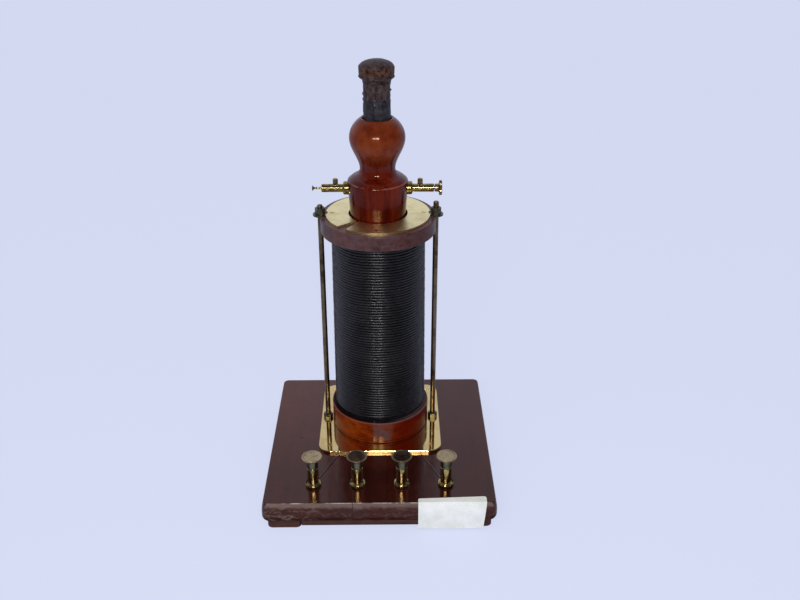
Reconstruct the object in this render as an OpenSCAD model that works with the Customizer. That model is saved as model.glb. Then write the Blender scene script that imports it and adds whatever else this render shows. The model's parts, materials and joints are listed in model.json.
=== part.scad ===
// Induction coil for the lecture bench. An upright secondary coil is clamped
// by two tie rods on a square mahogany base. The primary coil lifts out of it
// by its turned head, and the iron core lifts out of the primary.
// Millimetres, +Z up. The origin is the middle of the base on the surface that
// the feet stand on, and -Y is the front, where the four binding posts are.

/* [Base board] */
// Width of the base board, left to right
base_w = 215; // [195:1:240]
// Depth of the base board, front to back
base_d = 212; // [195:1:240]
// Thickness of the base board
board_t = 22; // [20:0.5:28]
// Radius of the upright corners of the board
board_corner_r = 7; // [7:0.5:12]
// Radius along the lower edge of the board
board_low_r = 6.5; // [3:0.5:6.5]
// Height of the board's widest place above its lower face
board_waist_h = 9; // [7:0.5:12]
// Distance that the board's upper edge stands back from its widest place
board_bulge = 1.7; // [0.5:0.1:3]
// Radius along the upper edge of the board
board_top_r = 0.5; // [0.3:0.1:2]
// Distance of the coil axis behind the middle of the board
coil_back = 29.5; // [24:0.5:32]

/* [Feet and bottom cover] */
// Width of a corner foot
foot_w = 31; // [26:1:34]
// Height of the feet
foot_h = 8; // [7.5:0.5:12]
// Distance of a foot from the edge of the board
foot_inset = 4.5; // [3:0.5:8]
// Radius of the corners of a foot
foot_corner_r = 5; // [2:0.5:8]
// Thickness of the bottom cover
cover_t = 6.9; // [5:0.1:7.2]
// Distance of the bottom cover from the edge of the board
cover_inset = 6; // [6:0.5:12]
// Diameter of the shank of a wood screw
wood_screw_d = 3; // [2.5:0.1:3.5]
// Diameter of the head of a wood screw
wood_screw_head_d = 6; // [5:0.1:7]
// Depth that a wood screw reaches into the board
wood_screw_bite = 9; // [6:0.5:11]

/* [Brass base plate] */
// Width of the square brass plate
plate_w = 120; // [118:0.5:126]
// Thickness of the brass plate
plate_t = 3; // [2:0.1:4]
// Radius of the corners of the brass plate
plate_corner_r = 13; // [4:0.5:16]
// Radius along the upper edge of the brass plate
plate_edge_r = 0.9; // [0.3:0.1:1.5]
// Distance of a plate screw from the edges of the plate
plate_screw_inset = 11; // [9:0.5:13]
// Diameter of the head of a brass countersunk screw
brass_screw_head_d = 4.6; // [3.5:0.1:5.5]
// Diameter of the shank of a brass countersunk screw
brass_screw_d = 2.2; // [1.6:0.1:2.6]
// Length of a brass countersunk screw
brass_screw_l = 10; // [8:0.5:12]

/* [Secondary coil] */
// Radius of the lower wooden flange
lower_flange_r = 48; // [46:0.5:49.5]
// Height of the lower wooden flange
lower_flange_h = 23.5; // [16:0.5:28]
// Radius of the upper wooden flange
upper_flange_r = 53.5; // [52.5:0.1:54.5]
// Height of the upper wooden flange
upper_flange_h = 14.5; // [13:0.5:18]
// Radius of the turned edges of the flanges
flange_edge_r = 1.2; // [0.5:0.1:2]
// Length of the winding between the flanges
winding_h = 185; // [150:1:210]
// Radius over the outer turns at the top of the winding
winding_r = 43.7; // [41:0.1:45]
// Radius over the outer turns at the bottom of the winding
winding_low_r = 44.8; // [41:0.1:46]
// Number of visible turns of wire
winding_turns = 66; // [54:3:72]
// Height of a turn of wire above the groove beside it
turn_relief = 1; // [0.6:0.1:1.2]
// Radius of the open bore of the coil
bore_r = 27.2; // [26.5:0.1:29]
// Wall of the tube that the coil is wound on
tube_wall = 2.6; // [2:0.1:4]

/* [Split plate] */
// Radius of the split plate on the upper flange
split_r = 48; // [44:0.5:50]
// Thickness of the split plate
split_t = 1.6; // [1:0.1:2.5]
// Width of the split at the hole
split_gap_in = 1.8; // [1:0.1:4]
// Width of the split at the rim
split_gap_out = 11; // [5:0.5:16]
// Direction of the split, counted from +X towards +Y
split_azimuth = 228; // [215:1:240]
// Radius of the circle that the split plate's screws stand on
split_screw_r = 42; // [34:0.5:43]

/* [Tie rods] */
// Diameter of a tie rod
rod_d = 5; // [4:0.1:6]
// Distance of a tie rod from the coil axis
rod_reach = 53.2; // [52.6:0.1:54.2]
// Height of the left rod above its top nut
rod_over_left = 3; // [1.5:0.5:6]
// Height of the right rod above its top nut
rod_over_right = 6; // [3:0.5:10]
// Width of a hexagon nut across its flats
nut_flats = 8.2; // [7.5:0.1:9]
// Height of a top nut
top_nut_h = 6; // [4:0.5:8]
// Height of the nuts on the brass plate and under the board
low_nut_h = 4.5; // [3:0.5:5]
// Diameter of a washer
washer_d = 13.4; // [11:0.1:14]
// Thickness of a washer
washer_t = 1.5; // [1:0.1:2]
// Depth of the washer's seat in the upper flange
washer_seat = 0.8; // [0.3:0.1:1.4]

/* [Binding posts] */
// Distance between neighbouring posts
post_pitch = 40.9; // [36:0.1:46]
// Distance of the posts from the front edge of the board
post_setback = 28; // [22:0.5:32]
// Diameter of the foot of a post
post_foot_d = 14.8; // [13:0.1:17]
// Thickness of the foot of a post
post_foot_h = 3.6; // [2.5:0.1:5]
// Diameter of the body and the sleeve of a post
post_d = 10.4; // [9:0.1:11.5]
// Height of the fixed body of a post
post_body_h = 20.5; // [16:0.5:24]
// Height of the loose sleeve of a post
post_sleeve_h = 8; // [6:0.5:10]
// Diameter of the head of a post
post_head_d = 19; // [17:0.1:21]
// Height of the head of a post
post_head_h = 4.3; // [3.8:0.1:6]
// Diameter of the stud that a post turns on
post_stud_d = 4.8; // [4:0.1:5.2]
// Diameter of a wire that the posts are joined with
lead_d = 0.9; // [0.8:0.1:1.2]

/* [Primary coil] */
// Radius of the winding of the primary coil
primary_r = 24.4; // [22:0.1:24.8]
// Thickness of the disc under the primary coil
end_disc_t = 6; // [4:0.5:8]
// Radius of the bore that the core slides in
core_bore_r = 13.2; // [12.9:0.1:13.8]
// Wall of the tube that the primary is wound on
primary_wall = 1.8; // [1.2:0.1:2.2]
// Depth that the collar of the head reaches into the coil
collar_sink = 12; // [6:0.5:16]
// Radius of the collar at the split plate
collar_low_r = 25.4; // [25.1:0.1:25.9]
// Radius of the collar at its shoulder
collar_top_r = 27.4; // [27.3:0.1:28.5]
// Height of the shoulder above the upper flange
collar_h = 34.3; // [33:0.1:40]
// Radius of the neck above the collar
neck_r = 16; // [15.6:0.1:17.5]
// Height of the neck's narrowest place above the shoulder
neck_rise = 10.7; // [10:0.1:16]
// Radius of the ball at the top of the head
ball_r = 25; // [23:0.1:27]
// Height of the middle of the ball above the neck
ball_rise = 28; // [25:0.5:32]
// Height of the ball's upper half, were it not cut off
ball_top_h = 22; // [20:0.5:26]

/* [Primary terminals] */
// Height of the terminals above the upper flange
terminal_rise = 25.6; // [20:0.1:26]
// Distance of a terminal's flange face from the coil axis
terminal_seat = 25.9; // [25.6:0.1:26.2]
// Thickness of a terminal's flange
terminal_flange_t = 5.4; // [3:0.1:6]
// Diameter of a terminal's flange
terminal_flange_d = 12.2; // [10:0.1:13]
// Diameter of a terminal's body
terminal_d = 7.4; // [6.5:0.1:8.5]
// Distance of a terminal's outer end from the coil axis
terminal_end = 51; // [50:0.5:56]
// Distance of the inner wire hole from the coil axis
wire_hole_in = 38.3; // [37:0.1:40]
// Distance of the outer wire hole from a terminal's end
wire_hole_out = 5.5; // [4.5:0.1:6.5]
// Diameter of a wire hole
wire_hole_d = 2.5; // [1.5:0.1:2.6]
// Diameter of a set screw's stem
set_stem_d = 2; // [1.8:0.1:2.2]
// Diameter of a set screw's head
set_head_d = 4.7; // [4:0.1:5.6]
// Height of a set screw's head
set_head_h = 5; // [3.5:0.1:6.5]
// Diameter of the right end screw's knob
knob_d = 13.5; // [11:0.1:15]
// Thickness of the right end screw's knob
knob_t = 2.6; // [2:0.1:4]
// Length of the neck of the right end screw's knob
knob_neck = 4; // [3:0.1:6]
// Diameter of the left end screw's stem
left_stem_d = 1.9; // [1.6:0.1:2.3]
// Length of the left end screw that stands out
left_stem_out = 6.3; // [4:0.1:8]
// Diameter of the left end screw's head
left_head_d = 5; // [4:0.1:6]
// Thickness of the left end screw's head
left_head_t = 2.1; // [1.5:0.1:3]

/* [Iron core] */
// Radius over the tape on the core
core_r = 12.2; // [11.6:0.1:12.3]
// Thickness of the tape on the core
tape_t = 0.75; // [0.6:0.05:1]
// Length of the core's shaft that stands out of the head
core_out = 31.5; // [24:0.5:40]
// Radius of the knob on the core
core_knob_r = 15.9; // [15:0.1:18]
// Height of the knob on the core, from the shaft to its crown
core_knob_h = 19.3; // [17:0.1:24]
// Rings of iron wires round the middle wire
wire_rings = 3; // [2:1:4]

/* [Hidden] */
$fn = 96;

// Running and assembly clearances
slip = 0.2;
lay = 0.3;
// Levels, from the bench upwards
board_z = foot_h;
top_z = board_z + board_t;
plate_z = top_z + plate_t;
winding_z = plate_z + lower_flange_h;
winding_top_z = winding_z + winding_h;
deck_z = winding_top_z + upper_flange_h;
coil_y = coil_back;
tube_r = bore_r + tube_wall;
// Counterbores under the board
sink_d = washer_d + 2;
sink_h = washer_t + low_nut_h + 3;
rod_tail = 1;
lead_slot = 5;
// Secondary winding: a band of three wires, wound as one unbroken helix
band_wires = 3;
ring_steps = 24;
band_loops = winding_turns / band_wires - 1;
band_pitch = (winding_h - 2 * lay) / (band_loops + 1);
band_gap = 0.5;
turn_pitch = (band_pitch - band_gap) / band_wires;
valley_relief = turn_relief * 0.2;
core_depth = turn_relief + winding_low_r * (1 - cos(180 / ring_steps)) + 0.1;
winding_core_r = winding_r - core_depth;
// Posts, from left to right
function post_x(i) = (i - 2.5) * post_pitch;
post_y = post_setback - base_d / 2;
post_head_z = top_z + post_body_h + post_sleeve_h;
post_stud_bite = post_head_h - 2.2;
// Head of the primary coil
shoulder_z = deck_z + collar_h;
neck_z = shoulder_z + neck_rise;
ball_z = neck_z + ball_rise;
shoulder_r = 1.6;
dome_r = 13;
dome_in = 11;
dome_drop = 8.5;
cove_r = 5.5;
cove_h = 6.5;
mouth_r = core_bore_r + 2.2;
mouth_z = ball_z + ball_top_h * sqrt(1 - pow(mouth_r / ball_r, 2));
mouth_lip = 0.6;
tube_seat_z = deck_z + 8;
primary_tube_r = core_bore_r + primary_wall;
disc_z = plate_z + end_disc_t;
collar_z = deck_z - collar_sink;
collar_foot_r = collar_low_r - (collar_top_r - collar_low_r) * collar_sink / collar_h;
// Terminals
terminal_z = deck_z + terminal_rise;
terminal_tail = 7.5;
terminal_tail_d = 3;
outer_hole_x = terminal_end - wire_hole_out;
stem_slip = 0.15;
set_flat_z = terminal_d / 2 - 1;
set_stem_z = wire_hole_d / 2 + 0.1;
set_head_z = terminal_d / 2 + 0.2;
end_tip_x = outer_hole_x + wire_hole_d / 2 + 0.15;
end_gap = 0.5;
nail_d = 2.8;
nail_turn = 22.5;
// Core
core_top_z = mouth_z + mouth_lip + core_out;
wire_d = (core_r - tape_t - 0.1) * 2 / (2 * wire_rings + 1) - 0.06;

// ---- shapes ----

// Points of an elliptical arc about c, from angle a0 to angle a1
function arc(c, rx, ry, a0, a1, n = 10) =
  [for (i = [0:n]) let (a = a0 + (a1 - a0) * i / n) c + [rx * cos(a), ry * sin(a)]];

module turned(points) {
  rotate_extrude() polygon(points);
}

module round_rect(w, d, r) {
  square([w - 2 * r, d], center = true);
  square([w, d - 2 * r], center = true);
  for (x = [-1, 1], y = [-1, 1])
    translate([x * (w / 2 - r), y * (d / 2 - r)]) circle(r);
}

// Side of a slab from its lower face up, as [distance behind the widest place, height]
function round_side(h, low_r, top_r) = concat(
  arc([low_r, low_r], low_r, low_r, 270, 180, 6),
  arc([top_r, h - top_r], top_r, top_r, 180, 90, 6));

// Slab on z = 0 with rounded upright corners
module slab(w, d, corner_r, side) {
  h = side[len(side) - 1][1];
  rotate([90, 0, 0]) linear_extrude(d - 2 * corner_r, center = true) slab_section(w, side);
  rotate([90, 0, 90]) linear_extrude(w - 2 * corner_r, center = true) slab_section(d, side);
  for (turn = [0:90:270]) {
    x = (turn == 0 || turn == 270 ? 1 : -1) * (w / 2 - corner_r);
    y = (turn < 180 ? 1 : -1) * (d / 2 - corner_r);
    translate([x, y, 0]) rotate([0, 0, turn]) rotate_extrude(angle = 90)
      polygon(concat([[0, 0]], [for (p = side) [corner_r - p[0], p[1]]], [[0, h]]));
  }
}

module slab_section(w, side) {
  polygon(concat(
    [for (p = side) [w / 2 - p[0], p[1]]],
    [for (i = [len(side) - 1:-1:0]) [side[i][0] - w / 2, side[i][1]]]));
}

// Turned disc with a bore and rounded outer edges
module turned_disc(r, h, hole_r, edge_r) {
  turned(concat(
    [[hole_r, 0]],
    arc([r - edge_r, edge_r], edge_r, edge_r, -90, 0, 6),
    arc([r - edge_r, h - edge_r], edge_r, edge_r, 0, 90, 6),
    [[hole_r, h]]));
}

// Hexagon nut with chamfered corners on z = 0
module hex_nut(hole_d, h) {
  corner_r = nut_flats / sqrt(3);
  edge = (corner_r - nut_flats / 2) * 0.9;
  difference() {
    intersection() {
      cylinder(h = h, r = corner_r, $fn = 6);
      turned([[0, 0], [corner_r - edge, 0], [corner_r + 0.1, edge * 0.7],
        [corner_r + 0.1, h - edge * 0.7], [corner_r - edge, h], [0, h]]);
    }
    translate([0, 0, -1]) cylinder(h = h + 2, d = hole_d);
  }
}

module washer(hole_d) {
  difference() {
    cylinder(h = washer_t, d = washer_d);
    translate([0, 0, -1]) cylinder(h = washer_t + 2, d = hole_d + 2 * slip);
  }
}

// Countersunk screw, its flat head at z = 0 and its shank below
module flat_screw(head_d, shank_d, length) {
  head_h = (head_d - shank_d) / 2;
  difference() {
    turned([[0, -length], [shank_d / 2, -length + shank_d / 2], [shank_d / 2, -head_h],
      [head_d / 2, 0], [0, 0]]);
    translate([0, 0, -head_h * 0.4 + 0.5])
      cube([head_d + 1, head_d * 0.13, 1], center = true);
  }
}

// The room that a countersunk screw takes
module flat_screw_hole(head_d, shank_d, length) {
  head_h = (head_d - shank_d) / 2;
  turned([[0, -length], [shank_d / 2, -length + shank_d / 2], [shank_d / 2, -head_h],
    [head_d / 2, 0], [head_d / 2, 1], [0, 1]]);
}

// Round wire along a line of points, with round bends and ends
module wire(points, d) {
  last = len(points) - 1;
  for (i = [1:last]) {
    v = points[i] - points[i - 1];
    translate(points[i - 1]) rotate([0, acos(v[2] / norm(v)), atan2(v[1], v[0])]) {
      sphere(d = d, $fn = 24);
      cylinder(h = norm(v), d = d, $fn = 24);
      if (i == last) translate([0, 0, norm(v)]) sphere(d = d, $fn = 24);
    }
  }
}

module at_coil(z) {
  translate([0, coil_y, z]) children();
}

module at_rods(z) {
  for (side = [-1, 1]) translate([side * rod_reach, coil_y, z]) children();
}

module at_posts(z) {
  for (i = [1:4]) translate([post_x(i), post_y, z]) children();
}

// ---- base ----

foot_x = base_w / 2 - foot_inset - foot_w / 2;
foot_y = base_d / 2 - foot_inset - foot_w / 2;

module at_feet(z) {
  for (x = [-1, 1], y = [-1, 1]) translate([x * foot_x, y * foot_y, z]) children();
}

plate_screw_at = plate_w / 2 - plate_screw_inset;

module at_plate_screws(z) {
  for (x = [-1, 1], y = [-1, 1])
    translate([x * plate_screw_at, coil_y + y * plate_screw_at, z]) children();
}

// The six screws of the bottom cover, three along the front and three along the back
cover_screw_y = base_d / 2 - cover_inset - 8;

module at_cover_screws(z) {
  for (x = [-1, 0, 1], y = [-1, 1])
    translate([x * (foot_x - foot_w / 2 - 12), y * cover_screw_y, z]) children();
}

// Lead n runs from post n: 1 and 4 over the board, 2 and 3 under it
lead_exit_y = coil_y - plate_w / 2 - 2;
lead_exit_x = 40;
lead_depth = 8;
under_lead_z = board_z + 2.5;
lead_x = post_pitch / 2;
riser_reach = sqrt(pow((tube_r + winding_core_r) / 2, 2) - pow(lead_x, 2));
riser_at_y = coil_y - riser_reach;

module riser_holes(z, h) {
  for (side = [-1, 1])
    translate([side * lead_x, riser_at_y, z]) cylinder(h = h, d = lead_d + 2 * slip, $fn = 24);
}

// Side of the board: round below, swelling to its widest place, drawn in above it
function board_side() =
  let (
    swell_h = board_t - board_top_r - board_waist_h,
    swell_r = (pow(swell_h, 2) + pow(board_bulge, 2)) / (2 * board_bulge)
  )
  concat(
    arc([board_low_r, board_low_r], board_low_r, board_low_r, 270, 180, 6),
    arc([swell_r, board_waist_h], swell_r, swell_r, 180, 180 - asin(swell_h / swell_r), 6),
    arc([board_bulge + board_top_r, board_t - board_top_r], board_top_r, board_top_r, 150, 90, 2));

module base_board() {
  color([0.28, 0.13, 0.11]) difference() {
    translate([0, 0, board_z]) slab(base_w, base_d, board_corner_r, board_side());
    at_rods(board_z - 1) cylinder(h = board_t + 2, d = rod_d + 2 * slip);
    at_rods(board_z - 1) cylinder(h = sink_h + 1, d = sink_d);
    at_posts(board_z - 1) cylinder(h = board_t + 2, d = post_stud_d + 2 * slip);
    at_posts(board_z - 1) cylinder(h = sink_h + 1, d = sink_d);
    at_feet(board_z - 1) cylinder(h = wood_screw_bite + 1, d = wood_screw_d);
    at_cover_screws(board_z - 1) cylinder(h = wood_screw_bite + 1, d = wood_screw_d);
    at_plate_screws(plate_z) flat_screw_hole(brass_screw_head_d, brass_screw_d, brass_screw_l);
    for (side = [-1, 1]) {
      translate([side * lead_x - lead_slot / 2, post_y, board_z - 1])
        cube([lead_slot, riser_at_y - post_y + lead_slot / 2, lead_slot + 1]);
      translate([side * lead_exit_x, lead_exit_y, top_z - lead_depth])
        cylinder(h = lead_depth + 1, d = lead_d + 2 * slip, $fn = 24);
    }
    riser_holes(board_z, board_t + 1);
  }
}

module base_feet() {
  color([0.22, 0.11, 0.09]) at_feet(0) difference() {
    linear_extrude(foot_h) round_rect(foot_w, foot_w, foot_corner_r);
    translate([0, 0, -1]) cylinder(h = foot_h + 2, d = wood_screw_d);
    translate([0, 0, -1]) cylinder(h = foot_h - 3 + 1, d = wood_screw_head_d + 1);
  }
}

module wood_screw(length) {
  difference() {
    turned([[0, -length], [wood_screw_d / 2, -length + wood_screw_d / 2],
      [wood_screw_d / 2, 0], [wood_screw_head_d / 2, 0], [wood_screw_head_d / 2 * 0.8, 1.4],
      [wood_screw_head_d / 4, 2], [0, 2]]);
    translate([0, 0, 2]) cube([wood_screw_head_d + 1, 0.8, 1.6], center = true);
  }
}

module foot_screws() {
  color([0.7, 0.58, 0.3]) at_feet(foot_h - 3) mirror([0, 0, 1]) wood_screw(3 + wood_screw_bite);
}

module bottom_cover() {
  cover_w = base_w - 2 * cover_inset;
  cover_d = base_d - 2 * cover_inset;
  color([0.3, 0.16, 0.12]) difference() {
    translate([-cover_w / 2, -cover_d / 2, board_z - cover_t]) cube([cover_w, cover_d, cover_t]);
    for (x = [-1, 1], y = [-1, 1])
      translate([x * (base_w / 2), y * (base_d / 2), board_z / 2])
        cube([2 * (foot_inset + foot_w + lay), 2 * (foot_inset + foot_w + lay), board_z * 2], center = true);
    at_cover_screws(-1) cylinder(h = board_z + 2, d = wood_screw_d);
    at_cover_screws(board_z - cover_t - 1) cylinder(h = 2.4 + 1, d = wood_screw_head_d + 0.8);
  }
}

module cover_screws() {
  color([0.7, 0.58, 0.3]) at_cover_screws(board_z - cover_t + 2.4)
    mirror([0, 0, 1]) wood_screw(cover_t - 2.4 + wood_screw_bite);
}

module base_plate() {
  color([0.8, 0.66, 0.38]) difference() {
    at_coil(top_z) slab(plate_w, plate_w, plate_corner_r, round_side(plate_t, 0.2, plate_edge_r));
    at_rods(top_z - 1) cylinder(h = plate_t + 2, d = rod_d + 2 * slip);
    at_plate_screws(plate_z) flat_screw_hole(brass_screw_head_d, brass_screw_d, brass_screw_l);
    riser_holes(top_z - 1, plate_t + 2);
  }
}

module base_plate_screws() {
  color([0.85, 0.7, 0.38]) at_plate_screws(plate_z)
    flat_screw(brass_screw_head_d, brass_screw_d, brass_screw_l);
}

// ---- secondary coil ----

module lower_flange() {
  color([0.5, 0.2, 0.12]) difference() {
    at_coil(plate_z) turned_disc(lower_flange_r, lower_flange_h, tube_r, flange_edge_r);
    riser_holes(plate_z - 1, lower_flange_h + 2);
  }
}

module outer_tube() {
  color([0.2, 0.14, 0.1]) at_coil(plate_z) difference() {
    cylinder(h = deck_z - plate_z, r = tube_r);
    translate([0, 0, -1]) cylinder(h = deck_z - plate_z + 2, r = bore_r);
  }
}

module outer_winding_core() {
  color([0.1, 0.1, 0.13]) at_coil(winding_z) difference() {
    cylinder(h = winding_h, r1 = winding_low_r - core_depth, r2 = winding_core_r);
    translate([0, 0, -1]) cylinder(h = winding_h + 2, r = tube_r);
  }
}

// Section of the band, from its lower edge to its upper edge, as [out, up]:
// a groove at each even point and the crest of a wire at each odd one
function band_section() =
  [for (k = [0:2 * band_wires])
    [k % 2 == 1 ? turn_relief : (k == 0 || k == 2 * band_wires ? 0 : valley_relief),
      (k / 2 - band_wires / 2) * turn_pitch]];

band_start_z = winding_z + lay + band_pitch / 2;
band_start_a = 90;

// Frame of the band after a number of steps. The first and last steps run straight.
function band_point(p, step) =
  let (
    last = band_loops * ring_steps,
    t = min(max(step, 0), last),
    straight = (step - t) * turn_pitch,
    a = band_start_a + t * 360 / ring_steps,
    r = winding_low_r + (winding_r - winding_low_r) * t / last - turn_relief + p[0],
    z = band_start_z + t * band_pitch / ring_steps + p[1]
  )
  [r * cos(a) - straight * sin(a), coil_y + r * sin(a) + straight * cos(a), z];

band_points = [for (step = [-1:band_loops * ring_steps + 1], p = band_section()) band_point(p, step)];
band_sides = 2 * band_wires + 1;
band_rings = band_loops * ring_steps + 3;

function band_walls() =
  [for (i = [0:band_rings - 2], k = [0:band_sides - 1])
    let (
      a = i * band_sides + k,
      b = i * band_sides + (k + 1) % band_sides,
      c = b + band_sides,
      d = a + band_sides
    )
    each [[a, b, c], [a, c, d]]];

function band_cap(first, turned_over) =
  let (
    crests = [for (k = [0:band_wires - 1]) [2 * k, 2 * k + 1, 2 * k + 2]],
    inner = [for (k = [1:band_wires - 1]) [0, 2 * k, 2 * k + 2]]
  )
  [for (f = concat(crests, inner))
    turned_over ? [first + f[2], first + f[1], first + f[0]] : [first + f[0], first + f[1], first + f[2]]];

// Least gap between one loop of the band and the next, measured on its points
band_least_gap = min([for (k = [0:ring_steps])
  let (a = band_point(band_section()[2 * band_wires], k), b = band_point(band_section()[0], k + ring_steps))
  norm(b - a)]);
echo(least_gap_of_the_winding = band_least_gap);

module outer_winding() {
  color([0.13, 0.13, 0.17])
    polyhedron(
      points = band_points,
      faces = concat(
        band_walls(),
        band_cap(0, true),
        band_cap((band_rings - 1) * band_sides, false)));
}

module upper_flange() {
  color([0.33, 0.13, 0.13]) difference() {
    at_coil(winding_top_z) turned_disc(upper_flange_r, upper_flange_h, tube_r, flange_edge_r);
    at_rods(winding_top_z - 1) cylinder(h = upper_flange_h + 2, d = rod_d + 2 * slip);
    at_rods(deck_z - washer_seat) cylinder(h = washer_seat + 1, d = washer_d + 2 * lay);
    at_split_screws(deck_z + split_t)
      flat_screw_hole(brass_screw_head_d, brass_screw_d, brass_screw_l);
  }
}

module at_split_screws(z) {
  for (a = [0:90:270])
    at_coil(z) rotate([0, 0, a]) translate([split_screw_r, 0, 0]) children();
}

module split_plate() {
  color([0.85, 0.8, 0.6]) difference() {
    at_coil(deck_z) difference() {
      cylinder(h = split_t, r = split_r);
      translate([0, 0, -1]) cylinder(h = split_t + 2, r = bore_r);
      rotate([0, 0, split_azimuth]) translate([0, 0, -1]) linear_extrude(split_t + 2)
        polygon([[bore_r - 2, -split_gap_in / 2], [split_r + 1, -split_gap_out / 2],
          [split_r + 1, split_gap_out / 2], [bore_r - 2, split_gap_in / 2]]);
    }
    at_rods(deck_z - 1) cylinder(h = split_t + 2, d = washer_d + 2 * lay);
    at_split_screws(deck_z + split_t)
      flat_screw_hole(brass_screw_head_d, brass_screw_d, brass_screw_l);
  }
}

module split_plate_screws() {
  color([0.8, 0.68, 0.4]) at_split_screws(deck_z + split_t)
    flat_screw(brass_screw_head_d, brass_screw_d, brass_screw_l);
}

// ---- tie rods ----

top_washer_z = deck_z - washer_seat;
top_nut_z = top_washer_z + washer_t;
rod_foot_z = board_z + sink_h - washer_t - low_nut_h - rod_tail;

module tie_rod(side, over) {
  length = top_nut_z + top_nut_h + over - rod_foot_z;
  crown = 0.8;
  translate([side * rod_reach, coil_y, rod_foot_z])
    turned(concat(
      [[0, 0], [rod_d / 2 - 0.5, 0], [rod_d / 2, 0.5]],
      arc([0, length - crown], rod_d / 2, crown, 0, 90, 6)));
}

module tie_rod_left() {
  color([0.36, 0.28, 0.2]) tie_rod(-1, rod_over_left);
}

module tie_rod_right() {
  color([0.36, 0.28, 0.2]) tie_rod(1, rod_over_right);
}

module rod_washers() {
  color([0.4, 0.35, 0.25]) {
    at_rods(top_washer_z) washer(rod_d);
    at_rods(board_z + sink_h - washer_t) washer(rod_d);
  }
}

module rod_top_nuts() {
  color([0.3, 0.27, 0.22]) at_rods(top_nut_z) hex_nut(rod_d, top_nut_h);
}

module rod_foot_nuts() {
  color([0.34, 0.28, 0.2]) at_rods(plate_z) hex_nut(rod_d, low_nut_h);
}

module rod_bottom_nuts() {
  color([0.34, 0.28, 0.2])
    at_rods(board_z + sink_h - washer_t - low_nut_h) hex_nut(rod_d, low_nut_h);
}

// ---- leads ----

module front_leads() {
  color([0.55, 0.52, 0.55]) for (side = [-1, 1]) {
    x = side * lead_exit_x;
    lead_z = top_z + lead_d / 2;
    post_side = [side * 1.5 * post_pitch, post_y];
    away = [x, lead_exit_y] - post_side;
    reach = (post_foot_d / 2 + lead_d / 2) / norm(away);
    tip = post_side + away * reach;
    wire([[x, lead_exit_y, top_z - lead_depth + lead_d / 2], [x, lead_exit_y, lead_z], [tip[0], tip[1], lead_z]],
      lead_d);
  }
}

module under_leads() {
  color([0.55, 0.4, 0.25]) for (side = [-1, 1]) {
    x = side * lead_x;
    front = post_y + post_stud_d / 2 + lead_d / 2;
    wire([[x, front, under_lead_z], [x, riser_at_y, under_lead_z], [x, riser_at_y, winding_z - lead_d / 2]],
      lead_d);
  }
}

// ---- binding posts ----

post_tail = sink_h - washer_t - low_nut_h - rod_tail;

module post_body(i) {
  foot_r = post_foot_d / 2;
  edge = post_foot_h / 2;
  color([0.78, 0.66, 0.34]) translate([post_x(i), post_y, top_z])
    turned(concat(
      [[0, post_tail - board_t], [post_stud_d / 2 - 0.4, post_tail - board_t],
        [post_stud_d / 2, post_tail - board_t + 0.4], [post_stud_d / 2, 0]],
      [[foot_r - edge * 0.6, 0]],
      arc([foot_r - edge * 0.6, edge], edge * 0.6, edge, -90, 60, 8),
      [[post_d / 2 + 0.5, post_foot_h - 0.7], [post_d / 2, post_foot_h],
        [post_d / 2, post_body_h - 0.3], [post_d / 2 - 0.3, post_body_h],
        [post_stud_d / 2, post_body_h],
        [post_stud_d / 2, post_body_h + post_sleeve_h + post_stud_bite - 0.4],
        [post_stud_d / 2 - 0.4, post_body_h + post_sleeve_h + post_stud_bite],
        [0, post_body_h + post_sleeve_h + post_stud_bite]]));
}

module post_nuts() {
  color([0.6, 0.5, 0.3]) {
    at_posts(board_z + sink_h - washer_t) washer(post_stud_d);
    at_posts(board_z + sink_h - washer_t - low_nut_h) hex_nut(post_stud_d, low_nut_h);
  }
}

module post_sleeve(i) {
  inner = post_stud_d / 2 + slip;
  outer = post_d / 2;
  color([0.45, 0.44, 0.36]) translate([post_x(i), post_y, top_z + post_body_h])
    turned([[inner, 0], [outer - 0.3, 0], [outer, 0.3], [outer, post_sleeve_h - 0.3],
      [outer - 0.3, post_sleeve_h], [inner, post_sleeve_h]]);
}

module post_head(i) {
  r = post_head_d / 2;
  inner = post_stud_d / 2 + slip;
  rim = 1.3;
  dish = 0.5;
  color([0.68, 0.6, 0.42]) translate([post_x(i), post_y, post_head_z])
    turned(concat(
      [[inner, 0], [post_d / 2, 0]],
      arc([r, 0], r - post_d / 2, post_head_h - rim, 180, 100, 6),
      arc([r - rim / 2, post_head_h - rim / 2], rim / 2, rim / 2, -90, 90, 6),
      [[r - 2 * rim, post_head_h - dish * 0.7], [0, post_head_h - dish],
        [0, post_stud_bite + slip], [inner, post_stud_bite + slip]]));
}

// ---- primary coil ----

// Outline of the turned head above its bore, from the collar's foot to the mouth
function head_outline() = concat(
  [[collar_foot_r, collar_z]],
  arc([collar_top_r - shoulder_r, shoulder_z - shoulder_r], shoulder_r, shoulder_r, 0, 55, 6),
  arc([collar_top_r - dome_in, shoulder_z - dome_drop], dome_r, dome_r, 41, 72, 8),
  arc([neck_r + cove_r, neck_z], cove_r, cove_h, 250, 180, 10),
  neck_to_ball(),
  arc([0, ball_z], ball_r, ball_top_h, 0, acos(mouth_r / ball_r), 14),
  arc([mouth_r - 1, mouth_z + mouth_lip - 1], 1, 1, 50, 90, 3),
  [[core_bore_r + 0.4, mouth_z + mouth_lip], [core_bore_r, mouth_z + mouth_lip - 0.4]]);

// The neck swells into the ball along half a cosine wave
function neck_to_ball() =
  [for (i = [1:15]) let (t = i / 16)
    [neck_r + (ball_r - neck_r) * pow(sin(t * 90), 1.6), neck_z + ball_rise * pow(t, 0.9)]];

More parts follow.
